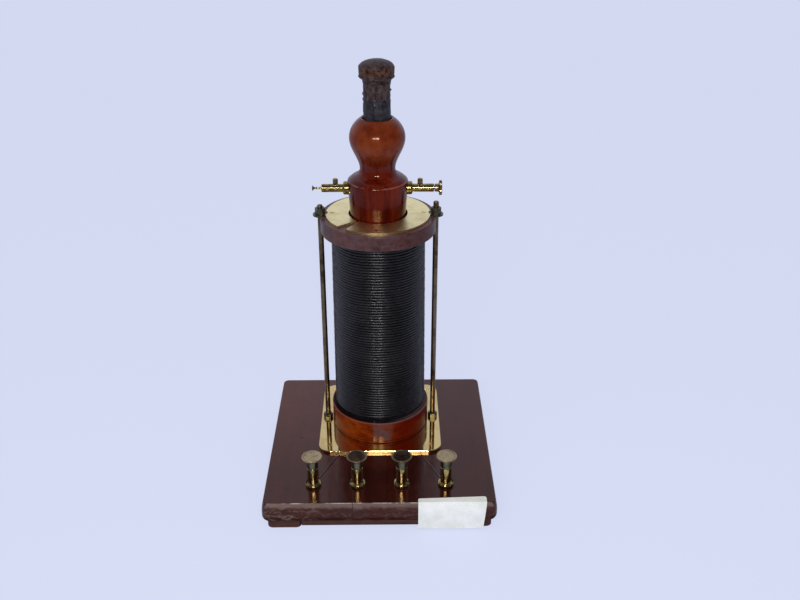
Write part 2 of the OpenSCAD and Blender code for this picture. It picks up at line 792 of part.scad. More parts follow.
module coil_head() {
  color([0.36, 0.13, 0.07]) difference() {
    at_coil(0) difference() {
      turned(concat(
        [[core_bore_r, tube_seat_z], [primary_tube_r, tube_seat_z], [primary_tube_r, collar_z]],
        head_outline()));
    }
    for (side = [-1, 1]) {
      translate([0, coil_y, terminal_z]) rotate([0, side * 90, 0]) {
        translate([0, 0, terminal_seat]) cylinder(h = 4, d = terminal_flange_d + 2 * slip);
        translate([0, 0, terminal_seat - terminal_tail])
          cylinder(h = terminal_tail + 1, d = terminal_tail_d);
      }
      nail_place(side) {
        cylinder(h = 4, d = nail_d + 2 * slip, $fn = 32);
        translate([0, 0, -6]) cylinder(h = 7, d = nail_d * 0.5, $fn = 32);
      }
    }
  }
}

// Places a small screw on the collar, its head pointing out along its own Z
module nail_place(side) {
  translate([0, coil_y, terminal_z - 0.5])
    rotate([0, 0, side > 0 ? -nail_turn : 180 + nail_turn])
      rotate([0, 90, 0]) translate([0, 0, terminal_seat + 0.9]) children();
}

module head_screws() {
  color([0.8, 0.7, 0.4]) for (side = [-1, 1]) nail_place(side)
    turned(concat([[0, -6], [nail_d / 4, -5.4], [nail_d / 4, 0]],
      arc([0, 0], nail_d / 2, nail_d * 0.45, 0, 90, 6)));
}

module inner_tube() {
  color([0.3, 0.22, 0.15]) at_coil(disc_z) difference() {
    cylinder(h = tube_seat_z - disc_z, r = primary_tube_r);
    translate([0, 0, -1]) cylinder(h = tube_seat_z - disc_z + 2, r = core_bore_r);
  }
}

module inner_winding() {
  color([0.16, 0.15, 0.16]) at_coil(disc_z) difference() {
    cylinder(h = collar_z - disc_z, r = primary_r);
    translate([0, 0, -1]) cylinder(h = collar_z - disc_z + 2, r = primary_tube_r);
  }
}

module inner_end_disc() {
  color([0.3, 0.12, 0.08]) at_coil(plate_z) turned_disc(collar_foot_r, end_disc_t, 0, 0.8);
}

// ---- terminals ----

// Places a terminal along its own +Z, its own -X up, from the coil axis
module terminal_place(side) {
  translate([0, coil_y, terminal_z]) rotate([0, side * 90, 0]) children();
}

module terminal(side) {
  stem_d = side > 0 ? set_stem_d : left_stem_d;
  up = -side;
  color([0.8, 0.68, 0.32]) terminal_place(side) difference() {
    turned(concat(
      [[0, terminal_seat - terminal_tail + 0.4], [terminal_tail_d / 2 - 0.4, terminal_seat - terminal_tail + 0.4],
        [terminal_tail_d / 2, terminal_seat - terminal_tail + 0.8], [terminal_tail_d / 2, terminal_seat],
        [terminal_flange_d / 2, terminal_seat]],
      arc([terminal_flange_d / 2 - 1.2, terminal_seat + terminal_flange_t - 1.6], 1.2, 1.6, 0, 90, 6),
      [[terminal_d / 2 + 0.4, terminal_seat + terminal_flange_t],
        [terminal_d / 2, terminal_seat + terminal_flange_t + 0.5],
        [terminal_d / 2, terminal_end - 0.5], [terminal_d / 2 - 0.5, terminal_end],
        [0, terminal_end]]));
    for (z = [wire_hole_in, outer_hole_x])
      translate([0, 0, z]) rotate([90, 0, 0])
        cylinder(h = terminal_d + 2, d = wire_hole_d, center = true, $fn = 48);
    translate([0, 0, wire_hole_in]) rotate([0, up * 90, 0]) {
      cylinder(h = terminal_d, d = set_stem_d + 2 * stem_slip, $fn = 48);
      translate([0, 0, set_flat_z]) cylinder(h = terminal_d, d = set_head_d + 2 * lay, $fn = 48);
    }
    translate([0, 0, outer_hole_x]) cylinder(h = wire_hole_out + 1, d = stem_d + 2 * stem_slip, $fn = 48);
  }
}

module terminal_left() {
  terminal(-1);
}

module terminal_right() {
  terminal(1);
}

module set_screw_stem(side) {
  color([0.7, 0.58, 0.3]) translate([side * wire_hole_in, coil_y, terminal_z])
    turned([[0, set_stem_z], [set_stem_d / 2 - 0.3, set_stem_z], [set_stem_d / 2, set_stem_z + 0.3],
      [set_stem_d / 2, set_head_z], [0, set_head_z]]);
}

module set_screw_head(side) {
  r = set_head_d / 2;
  color([0.62, 0.52, 0.34]) translate([side * wire_hole_in, coil_y, terminal_z + set_head_z])
    turned([[0, 0], [r - 0.3, 0], [r, 0.3], [r, set_head_h - 0.4], [r - 0.5, set_head_h],
      [0, set_head_h - 0.2]]);
}

module end_screw_left_stem() {
  tip = end_tip_x;
  r = left_stem_d / 2;
  color([0.75, 0.62, 0.3]) terminal_place(-1)
    turned([[0, tip], [r - 0.25, tip], [r, tip + 0.25], [r, terminal_end + left_stem_out],
      [0, terminal_end + left_stem_out]]);
}

module end_screw_left_head() {
  r = left_head_d / 2;
  color([0.62, 0.5, 0.3]) terminal_place(-1) translate([0, 0, terminal_end + left_stem_out])
    turned(concat([[0, 0], [left_stem_d / 2, 0]],
      arc([r, 0], r - left_stem_d / 2, left_head_t - 0.8, 180, 100, 5),
      [[r, left_head_t - 0.5], [r - 0.3, left_head_t], [0, left_head_t]]));
}

module end_screw_right_stem() {
  tip = end_tip_x;
  r = set_stem_d / 2;
  color([0.75, 0.62, 0.3]) terminal_place(1)
    turned([[0, tip], [r - 0.3, tip], [r, tip + 0.3], [r, terminal_end + end_gap],
      [0, terminal_end + end_gap]]);
}

module end_screw_right_knob() {
  r = knob_d / 2;
  neck = terminal_d / 2 - 0.1;
  edge = 0.5;
  color([0.66, 0.55, 0.33]) terminal_place(1) translate([0, 0, terminal_end + end_gap])
    turned([[0, 0], [neck - 0.4, 0], [neck, 0.4], [neck, knob_neck - 0.6], [neck + 0.6, knob_neck],
      [r - edge, knob_neck], [r, knob_neck + edge], [r, knob_neck + knob_t - edge],
      [r - edge, knob_neck + knob_t], [0, knob_neck + knob_t - 0.2]]);
}

// ---- iron core ----

module core_knob() {
  waist = core_r + 0.3;
  flare = 4;
  bead = 2.2;
  side_h = 9;
  crown = core_knob_h - flare - side_h;
  color([0.16, 0.14, 0.15]) at_coil(core_top_z)
    turned(concat(
      [[0, 0], [core_r, 0]],
      arc([core_knob_r + 0.4, 0], core_knob_r + 0.4 - waist, flare, 180, 112, 6),
      [[core_knob_r - 0.3, flare], [core_knob_r, flare + 0.4], [core_knob_r, flare + bead],
        [core_knob_r - 0.5, flare + bead + 0.4], [core_knob_r - 0.2, flare + bead + 0.9]],
      arc([0, flare + side_h - 0.6], core_knob_r - 0.2, crown + 0.6, 0, 90, 14)));
}

// Wires in hexagonal rings round the middle one
module core_wires() {
  step = wire_d + 0.06;
  color([0.35, 0.33, 0.32]) at_coil(disc_z)
    for (i = [-wire_rings:wire_rings], j = [-wire_rings:wire_rings])
      if (abs(i + j) <= wire_rings)
        translate([(i + j / 2) * step, j * step * sqrt(3) / 2, 0])
          cylinder(h = core_top_z - disc_z, d = wire_d, $fn = 24);
}

module core_tape() {
  color([0.08, 0.08, 0.1]) at_coil(disc_z) difference() {
    cylinder(h = core_top_z - disc_z, r = core_r);
    translate([0, 0, -1]) cylinder(h = core_top_z - disc_z + 2, r = core_r - tape_t);
  }
}

base_board();
base_feet();
foot_screws();
bottom_cover();
cover_screws();
base_plate();
base_plate_screws();
lower_flange();
outer_tube();
outer_winding_core();
outer_winding();
upper_flange();
split_plate();
split_plate_screws();
tie_rod_left();
tie_rod_right();
rod_washers();
rod_top_nuts();
rod_foot_nuts();
rod_bottom_nuts();
front_leads();
under_leads();
post_body(1);  // post_1_body
post_body(2);  // post_2_body
post_body(3);  // post_3_body
post_body(4);  // post_4_body
post_nuts();
post_sleeve(1);  // post_1_sleeve
post_sleeve(2);  // post_2_sleeve
post_sleeve(3);  // post_3_sleeve
post_sleeve(4);  // post_4_sleeve
post_head(1);  // post_1_head
post_head(2);  // post_2_head
post_head(3);  // post_3_head
post_head(4);  // post_4_head
coil_head();
inner_tube();
inner_winding();
inner_end_disc();
terminal_left();
terminal_right();
head_screws();
set_screw_stem(-1);  // set_screw_left_stem
set_screw_head(-1);  // set_screw_left_head
set_screw_stem(1);  // set_screw_right_stem
set_screw_head(1);  // set_screw_right_head
end_screw_left_stem();
end_screw_left_head();
end_screw_right_stem();
end_screw_right_knob();
core_knob();
core_wires();
core_tape();
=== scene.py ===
"""Looks of the induction coil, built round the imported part.

Everything is in metres, in the part's own frame: the origin is the middle of
the base on the bench, +Z is up and -Y is the front with the binding posts.
"""

import json
import math

import bpy
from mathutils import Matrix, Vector, noise


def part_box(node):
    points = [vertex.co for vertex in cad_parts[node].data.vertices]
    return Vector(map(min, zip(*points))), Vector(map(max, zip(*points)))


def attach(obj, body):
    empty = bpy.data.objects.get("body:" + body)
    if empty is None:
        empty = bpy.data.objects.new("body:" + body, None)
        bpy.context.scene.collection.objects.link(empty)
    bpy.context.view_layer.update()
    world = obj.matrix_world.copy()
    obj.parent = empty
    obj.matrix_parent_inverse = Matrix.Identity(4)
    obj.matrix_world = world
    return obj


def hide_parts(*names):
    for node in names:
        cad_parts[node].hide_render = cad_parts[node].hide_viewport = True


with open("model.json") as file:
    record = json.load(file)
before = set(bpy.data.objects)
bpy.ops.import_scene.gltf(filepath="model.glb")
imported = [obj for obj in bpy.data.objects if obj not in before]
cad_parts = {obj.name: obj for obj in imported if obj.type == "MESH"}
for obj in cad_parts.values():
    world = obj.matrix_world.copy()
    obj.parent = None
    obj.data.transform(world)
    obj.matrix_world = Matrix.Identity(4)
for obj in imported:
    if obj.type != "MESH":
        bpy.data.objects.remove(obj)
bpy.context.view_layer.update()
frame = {"nodes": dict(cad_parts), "record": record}

MM = 0.001
TURN = 2 * math.pi


def middle(node):
    """The middle of a node's box at rest."""
    low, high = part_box(node)
    return (low + high) / 2


COIL = middle("outer_tube")     # its x and y are the coil's axis


# ---- colours and shader nodes ----


def srgb(red, green, blue):
    """A display colour, each channel 0 to 255, as the linear colour that shaders take."""

    def linear(channel):
        c = channel / 255
        return c / 12.92 if c <= 0.04045 else ((c + 0.055) / 1.055) ** 2.4

    return (linear(red), linear(green), linear(blue), 1.0)


def darker(colour, share):
    return tuple(c * share for c in colour[:3]) + (1,)


def plug(tree, socket, value):
    """Links an output to a socket, or sets the socket's value."""
    if isinstance(value, bpy.types.NodeSocket):
        tree.links.new(value, socket)
    else:
        socket.default_value = value


def add_node(tree, kind, inputs=None, **settings):
    """A shader node. inputs gives a value or an output by the socket's name or number."""
    made = tree.nodes.new("ShaderNode" + kind)
    for key, value in settings.items():
        setattr(made, key, value)
    for key, value in (inputs or {}).items():
        plug(tree, made.inputs[key], value)
    return made


class Finish:
    """A Principled material, with short ways to add the nodes that vary it."""

    def __init__(self, name, **sockets):
        self.material = bpy.data.materials.new(name)
        self.material.use_nodes = True
        self.tree = self.material.node_tree
        self.shader = self.tree.nodes["Principled BSDF"]
        for socket, value in sockets.items():
            self.set(socket.replace("_", " "), value)
        self.place = self.node("TexCoord").outputs["Object"]

    def set(self, socket, value):
        plug(self.tree, self.shader.inputs[socket], value)

    def node(self, kind, inputs=None, **settings):
        return add_node(self.tree, kind, inputs, **settings)

    def axis(self, name):
        return self.node("SeparateXYZ", {"Vector": self.place}).outputs[name]

    def stretched(self, scale, turn=(0, 0, 0)):
        """The place in a stretched and turned space, where a noise turns into streaks."""
        mapping = self.node("Mapping", {"Vector": self.place, "Rotation": turn, "Scale": scale})
        return mapping.outputs["Vector"]

    def noise(self, place, scale, detail=3.0, rough=0.5, twist=0.0):
        inputs = {"Vector": place, "Scale": scale, "Detail": detail, "Roughness": rough,
                  "Distortion": twist}
        return self.node("TexNoise", inputs).outputs["Fac"]

    def math(self, operation, a, b=0.0):
        return self.node("Math", {0: a, 1: b}, operation=operation).outputs[0]

    def plus(self, a, b):
        return self.math("ADD", a, b)

    def minus(self, a, b):
        return self.math("SUBTRACT", a, b)

    def times(self, product, *factors):
        for factor in factors:
            product = self.math("MULTIPLY", product, factor)
        return product

    def spread(self, value, low, high, to_low=0.0, to_high=1.0):
        """Maps low..high to to_low..to_high, smoothly and clamped."""
        inputs = {"Value": value, "From Min": low, "From Max": high, "To Min": to_low, "To Max": to_high}
        return self.node("MapRange", inputs, interpolation_type="SMOOTHSTEP").outputs["Result"]

    def fall(self, value, low, high):
        """1 below low, 0 above high."""
        return self.spread(value, low, high, 1.0, 0.0)

    def band(self, value, centre, full, gone, peak=1.0, beyond=0.0):
        """peak within full of the centre, and beyond at more than gone from it."""
        away = self.math("ABSOLUTE", self.minus(value, centre))
        return self.spread(away, full, gone, peak, beyond)

    def mix(self, share, a, b):
        return self.node("Mix", {0: share, 6: a, 7: b}, data_type="RGBA").outputs[2]

    def ramp(self, value, *stops):
        made = self.node("ValToRGB", {"Fac": value})
        elements = made.color_ramp.elements
        while len(elements) < len(stops):
            elements.new(0.5)
        for element, (position, colour) in zip(elements, stops):
            element.position = position
            element.color = colour
        return made.outputs["Color"]

    def bump(self, height, depth, strength=1.0, under=None):
        inputs = {"Height": height, "Distance": depth, "Strength": strength}
        if under is not None:
            inputs["Normal"] = under
        return self.node("Bump", inputs).outputs["Normal"]


# ---- wood ----


GRAIN = {"X": (0.06, 1, 1), "Y": (1, 0.06, 1), "Z": (1, 1, 0.06)}     # long streaks on that axis
SHELLAC = srgb(255, 200, 170)


def varnished_wood(name, dark, light, along, gloss=0.12, shine=0.5, tint=SHELLAC, coat=0.0,
                   worn=None, dull=None):
    """Mahogany with its pores and streaks along one axis, under warm old shellac.
    worn changes its colour, with wear and with painted light, and dull gives the share, 0 to 1, to which
    the shellac has gone matt."""
    f = Finish(name, IOR=1.5, Specular_IOR_Level=shine, Specular_Tint=tint, Coat_Weight=coat,
               Coat_Roughness=gloss)
    grain = f.stretched(GRAIN[along])
    streaks = f.noise(grain, 260, detail=5, rough=0.6, twist=0.4)
    pores = f.noise(grain, 1900, detail=2, rough=0.5)
    clouds = f.noise(f.place, 30, detail=6, rough=0.65)
    tone = f.plus(f.times(streaks, 0.5), f.times(clouds, 0.5))
    colour = f.ramp(tone, (0.38, dark), (0.62, light))
    colour = f.mix(f.spread(pores, 0.3, 0.42, 0.45, 0.0), colour, darker(dark, 0.25))
    if worn is not None:
        colour = worn(f, colour)
    f.set("Base Color", colour)
    smears = f.noise(f.place, 70, detail=5, rough=0.65)
    roughness = f.spread(smears, 0.35, 0.7, gloss, gloss + 0.1)
    if dull is not None:
        matt = dull(f)
        roughness = f.plus(roughness, f.times(matt, 0.4))
        f.set("Specular IOR Level", f.times(f.minus(1.0, matt), shine))
    f.set("Roughness", roughness)
    ripple = f.noise(f.place, 160, detail=3, rough=0.5)
    f.set("Normal", f.bump(ripple, 0.0003, 0.25, under=f.bump(pores, 0.00008, 0.25)))
    return f.material


def spot(f, x, y, radius):
    """A round spot with a soft edge on an upward face, 1 at its middle."""
    dx = f.minus(f.axis("X"), x)
    dy = f.minus(f.axis("Y"), y)
    away = f.math("SQRT", f.plus(f.times(dx, dx), f.times(dy, dy)))
    return f.fall(away, 0.5 * radius, 1.5 * radius)


def board_wear_and_highlights(f, colour):
    """Scuffed and greyed wood at the front left corner, a painted highlight along the front top edge, a
    painted sheen on the top that is lighter towards the back and the left, a paler band along the top of
    the front face, a crack and dark spots.
    """
    x, y, z = f.axis("X"), f.axis("Y"), f.axis("Z")
    low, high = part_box("base_board")
    scuffs = f.noise(f.stretched((1, 1, 2.4), (0, 0.5, 0)), 95, detail=6, rough=0.7, twist=1.2)

    # Painted sheen: the top is lighter towards the back and the left, where it reflects the room's
    # light.
    painted_sheen = f.times(f.spread(x, low.x, high.x, 0.6, 0.2), f.spread(y, -80 * MM, 90 * MM, 0.25, 1.0),
                   f.spread(scuffs, 0.3, 0.7, 0.7, 1.0))
    colour = f.mix(painted_sheen, colour, srgb(106, 60, 48))

    left = f.spread(x, low.x + 10 * MM, low.x + 62 * MM, 1.0, 0.25)
    front = f.fall(y, low.y + 0.5 * MM, low.y + 2.6 * MM)
    scuffed = f.times(left, front, f.spread(scuffs, 0.46, 0.74), 0.7)
    colour = f.mix(scuffed, colour, srgb(146, 132, 122))

    # A paler, ragged band along the top of the front face.
    ragged = f.plus(z, f.times(scuffs, 6 * MM))
    pale_top_band = f.times(f.spread(ragged, high.z - 4 * MM, high.z + 1 * MM),
                     f.fall(y, low.y + 1.7 * MM, low.y + 2.1 * MM), 0.4)
    colour = f.mix(pale_top_band, colour, srgb(150, 132, 124))

    # Painted highlight: a near-white line along the front top edge, strongest in the middle.
    arris_highlight = f.times(f.spread(z, high.z - 0.8 * MM, high.z - 0.3 * MM),
                    f.fall(y, low.y + 1.6 * MM, low.y + 2.4 * MM))
    patchy = f.spread(f.noise(f.place, 120, detail=4), 0.38, 0.6)
    middle_part = f.band(x, -20 * MM, 62 * MM, 80 * MM, 1.0, 0.35)
    colour = f.mix(f.times(arris_highlight, patchy, middle_part, 0.85), colour, srgb(206, 196, 194))

    wavy = f.plus(x, f.times(scuffs, 1.6 * MM))
    crack = f.times(f.band(wavy, -23.4 * MM, 0.15 * MM, 0.45 * MM),
                    f.fall(y, low.y + 6 * MM, low.y + 18 * MM), 0.8)
    colour = f.mix(crack, colour, srgb(14, 5, 5))
    for spot_x, spot_y, radius in ((-78.5, -3.5, 1.9), (-85, -83, 2.6), (83, -23, 1.4)):
        stain = f.times(spot(f, spot_x * MM, spot_y * MM, radius * MM), 0.85)
        colour = f.mix(stain, colour, srgb(10, 12, 16))
    return colour


def matt_underside(f):
    """The board's lower rounding has lost its gloss."""
    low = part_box("base_board")[0]
    return f.spread(f.axis("Z"), low.z + 5 * MM, low.z + 9 * MM, 0.95, 0.0)


def matt_flange(f):
    """The lower flange is grimy on top, under the winding, and worn at its front."""
    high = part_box("lower_flange")[1]
    ledge = f.spread(f.axis("Z"), high.z - 0.12 * MM, high.z - 0.02 * MM, 0.0, 0.9)
    front = f.band(f.axis("X"), 0.0, 5 * MM, 16 * MM, 0.5)
    return f.math("MAXIMUM", ledge, front)


def rim_share(f, node, depth, raggedness):
    """1 on the top of a turned flange and down its side to a ragged line at depth."""
    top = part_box(node)[1].z
    ragged = f.noise(f.place, 110, detail=5, rough=0.65)
    edge = f.plus(f.axis("Z"), f.times(f.minus(ragged, 0.5), raggedness))
    return f.spread(edge, top - depth - 0.6 * MM, top - depth + 1.2 * MM)


def lower_flange_wear_and_shade(f, colour):
    """Orange at the left and red at the right, greyed at the front and along the upper edge, and
    darkened on top under the winding with painted shade and grime.
    """
    low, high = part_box("lower_flange")
    x, y, z = f.axis("X"), f.axis("Y"), f.axis("Z")
    red = f.times(f.spread(x, 6 * MM, 22 * MM), 0.85)
    colour = f.mix(red, colour, srgb(90, 10, 1))

    patchy = f.spread(f.noise(f.place, 75, detail=5, rough=0.7), 0.42, 0.6)
    front = f.times(f.band(x, 1 * MM, 5 * MM, 14 * MM), patchy, 0.8)
    edge = f.times(rim_share(f, "lower_flange", 1.2 * MM, 4 * MM),
                   f.spread(x, -24 * MM, 4 * MM, 0.35, 0.9))
    colour = f.mix(f.math("MAXIMUM", edge, front), colour, srgb(92, 74, 76))

    # Painted shade and grime: the top face under the winding is darkened nearly to black, most at the
    # left.
    shade_and_grime = f.times(f.spread(z, high.z - 0.12 * MM, high.z - 0.02 * MM),
                    f.spread(x, 4 * MM, 34 * MM, 0.96, 0.35))
    colour = f.mix(shade_and_grime, colour, srgb(16, 10, 12))

    wavy = f.plus(x, f.times(f.noise(f.place, 90), 1.5 * MM))
    crack = f.times(f.band(wavy, -4.8 * MM, 0.15 * MM, 0.5 * MM, 0.8),
                    f.fall(y, COIL.y - 20 * MM, COIL.y - 10 * MM))
    colour = f.mix(crack, colour, srgb(96, 76, 68))
    seam = f.band(z, low.z + 2.6 * MM, 0.2 * MM, 0.7 * MM, 0.8)
    return f.mix(seam, colour, srgb(34, 12, 6))


def upper_flange_wear(f, colour):
    """Dust and grey bloom on the side, and a pale rubbed upper edge."""
    bloom = f.times(f.spread(f.noise(f.place, 130, detail=6, rough=0.7), 0.36, 0.64, 0.2, 0.7),
                    f.spread(f.axis("X"), 8 * MM, 36 * MM, 1.0, 0.3))
    colour = f.mix(bloom, colour, srgb(88, 72, 76))
    rubbed = f.times(rim_share(f, "upper_flange", 0.4 * MM, 3 * MM), 0.3)
    return f.mix(rubbed, colour, srgb(120, 70, 62))


def head_tone(f, colour):
    """The ball of the head is browner than its neck and collar, and a painted highlight runs round the
    shoulder's edge.
    """
    low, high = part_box("coil_head")
    z = f.axis("Z")
    clouds = f.spread(f.noise(f.place, 70, detail=4, rough=0.6), 0.3, 0.7, 0.2, 0.85)
    ball = f.times(f.spread(z, high.z - 40 * MM, high.z - 24 * MM), clouds)
    colour = f.mix(ball, colour, srgb(126, 58, 27))
    # Painted highlight: a pale band round the shoulder's edge.
    patchy = f.spread(f.noise(f.place, 140, detail=3), 0.36, 0.56)
    shoulder = f.times(f.band(z, low.z + 45.8 * MM, 0.2 * MM, 0.8 * MM, 0.35), patchy)
    return f.mix(shoulder, colour, srgb(164, 112, 100))


# ---- metal, windings and the rest ----


def aged_metal(name, bright, stain, stained=0.5, smooth=0.12, dull=0.4, patch=90):
    """Brass or bronze that has been handled: bright metal with darker, duller stains."""
    f = Finish(name, Metallic=1.0)
    patches = f.spread(f.noise(f.place, patch, detail=6, rough=0.62), 0.42, 0.68)
    specks = f.spread(f.noise(f.place, 900, detail=2), 0.62, 0.72)
    share = f.times(f.math("MAXIMUM", patches, specks), stained)
    f.set("Base Color", f.mix(share, bright, stain))
    f.set("Roughness", f.spread(share, 0.0, 1.0, smooth, dull))
    fine = f.noise(f.stretched((1, 1, 8)), 1400, detail=2)
    f.set("Normal", f.bump(fine, 0.00003, 0.25))
    return f.material


def cap_metal(name):
    """Screw heads of the binding posts: the outer two handled pale, the inner two brown with a painted
    highlight round their top rim.
    """
    f = Finish(name, Metallic=1.0)
    z = f.axis("Z")
    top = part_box("post_1_head")[1].z
    stains = f.noise(f.place, 170, detail=6, rough=0.66, twist=0.8)
    pale = f.ramp(stains, (0.36, srgb(150, 128, 92)), (0.52, srgb(200, 180, 138)),
                  (0.66, srgb(176, 146, 110)))
    pits = f.spread(f.noise(f.place, 300, detail=4, rough=0.6, twist=1.5), 0.66, 0.7)
    pale = f.mix(f.times(pits, 0.85), pale, srgb(52, 36, 22))
    brown = f.ramp(stains, (0.36, srgb(92, 68, 54)), (0.66, srgb(136, 108, 86)))
    # Painted highlight: a pale ring round the top edge of the brown heads.
    rim_highlight = f.spread(z, top - 0.3 * MM, top - 0.02 * MM)
    brown = f.mix(rim_highlight, brown, srgb(176, 162, 124))
    inner = f.band(f.axis("X"), 0.0, 38 * MM, 42 * MM)
    colour = f.mix(inner, pale, brown)
    skirt = f.times(f.fall(z, top - 1.4 * MM, top - 0.9 * MM), 0.7)
    f.set("Base Color", f.mix(skirt, colour, srgb(122, 112, 78)))
    f.set("Roughness", f.spread(stains, 0.35, 0.65, 0.3, 0.5))
    f.set("Normal", f.bump(stains, 0.0001, 0.3))
    return f.material


def annealed_iron(name):
    f = Finish(name, Metallic=1.0)
    scale = f.noise(f.place, 500, detail=5, rough=0.6)
    f.set("Base Color", f.ramp(scale, (0.35, srgb(70, 66, 66)), (0.7, srgb(132, 124, 118))))
    f.set("Roughness", f.spread(scale, 0.3, 0.7, 0.4, 0.65))
    f.set("Normal", f.bump(scale, 0.0001, 0.4))
    return f.material


def covered_wire(name, dark, dusty):
    """Cotton-covered wire soaked in black varnish, with dust and a few pale specks that are partly dust
    and partly painted glints.
    """
    f = Finish(name, IOR=1.5, Coat_Weight=0.5, Specular_IOR_Level=0.35)
    dust = f.noise(f.place, 45, detail=5, rough=0.6)
    # Pale specks: partly dust, partly painted glints of the flash on the varnish.
    glint_and_dust_specks = f.times(f.spread(f.noise(f.place, 650, detail=2), 0.66, 0.74), 0.3)
    colour = f.ramp(dust, (0.38, dark), (0.7, dusty))
    f.set("Base Color", f.mix(glint_and_dust_specks, colour, srgb(104, 106, 110)))
    f.set("Roughness", f.spread(dust, 0.35, 0.7, 0.36, 0.5))
    f.set("Coat Roughness", f.spread(f.noise(f.place, 160, detail=4), 0.35, 0.65, 0.12, 0.3))
    threads = f.noise(f.stretched((1, 1, 0.3)), 2600, detail=2)
    f.set("Normal", f.bump(threads, 0.00012, 0.4))
    f.set("Coat Normal", f.bump(f.noise(f.place, 420, detail=3, rough=0.6), 0.0002, 0.3))
    return f.material


def cloth_tape(name):
    """Black varnished cloth tape, bleached brown and cracked near the knob."""
    f = Finish(name, IOR=1.45, Coat_Weight=0.1, Coat_Roughness=0.2, Specular_IOR_Level=0.25)
    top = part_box("core_tape")[1].z
    z = f.axis("Z")
    streaks = f.noise(f.stretched((1, 1, 0.22)), 420, detail=4, rough=0.6)
    mottle = f.noise(f.place, 260, detail=4, rough=0.6)
    bleached = f.spread(z, top - 14.6 * MM, top - 12.4 * MM)
    age = f.plus(f.times(streaks, 0.6), f.times(mottle, 0.4))
    old = f.ramp(age, (0.38, srgb(20, 12, 14)), (0.6, srgb(78, 60, 60)))
    black = f.ramp(mottle, (0.35, srgb(24, 22, 26)), (0.7, srgb(58, 56, 62)))
    ring = f.times(f.band(z, top - 13.6 * MM, 0.2 * MM, 0.6 * MM), f.spread(mottle, 0.4, 0.6), 0.6)
    f.set("Base Color", f.mix(ring, f.mix(bleached, black, old), srgb(104, 96, 96)))
    f.set("Roughness", f.spread(mottle, 0.3, 0.7, 0.34, 0.6))
    weave = f.noise(f.stretched((1, 1, 6)), 900, detail=1)
    f.set("Normal", f.bump(weave, 0.0002, 0.4, under=f.bump(streaks, 0.0005, 0.5)))
    return f.material


def worn_ebonite(name):
    """Blackened knob, browned in its groove and mottled on its crown."""
    f = Finish(name, IOR=1.4, Coat_Weight=0.05, Coat_Roughness=0.24, Specular_IOR_Level=0.2)
    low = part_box("core_knob")[0]
    mottle = f.noise(f.place, 300, detail=5, rough=0.65)
    colour = f.ramp(mottle, (0.34, srgb(16, 9, 10)), (0.68, srgb(86, 66, 64)))
    groove = f.band(f.axis("Z"), low.z + 10.4 * MM, 0.4 * MM, 3.6 * MM, 0.7)
    rust = f.ramp(mottle, (0.4, srgb(44, 20, 8)), (0.65, srgb(106, 66, 32)))
    f.set("Base Color", f.mix(groove, colour, rust))
    f.set("Roughness", f.spread(mottle, 0.3, 0.7, 0.3, 0.55))
    f.set("Normal", f.bump(mottle, 0.0006, 0.35))
    return f.material


def shellacked_board(name):
    f = Finish(name, Coat_Weight=0.6, Coat_Roughness=0.2)
    layers = f.noise(f.stretched((1, 1, 0.2)), 220, detail=4)
    f.set("Base Color", f.ramp(layers, (0.3, srgb(84, 58, 34)), (0.7, srgb(132, 98, 60))))
    f.set("Roughness", f.spread(layers, 0.3, 0.7, 0.45, 0.6))
    f.set("Normal", f.bump(layers, 0.0002, 0.3))
    return f.material


def label_paper(name):
    f = Finish(name, Roughness=0.75)
    fibres = f.noise(f.place, 700, detail=4, rough=0.6)
    stains = f.noise(f.place, 55, detail=4, rough=0.6)
    paper = f.ramp(stains, (0.35, srgb(250, 250, 248)), (0.7, srgb(226, 230, 220)))
    f.set("Base Color", f.mix(f.spread(fibres, 0.3, 0.7, 0.0, 0.12), paper, srgb(170, 176, 166)))
    f.set("Normal", f.bump(fibres, 0.00008, 0.4))
    return f.material


# ---- one finish for each slot of the record ----

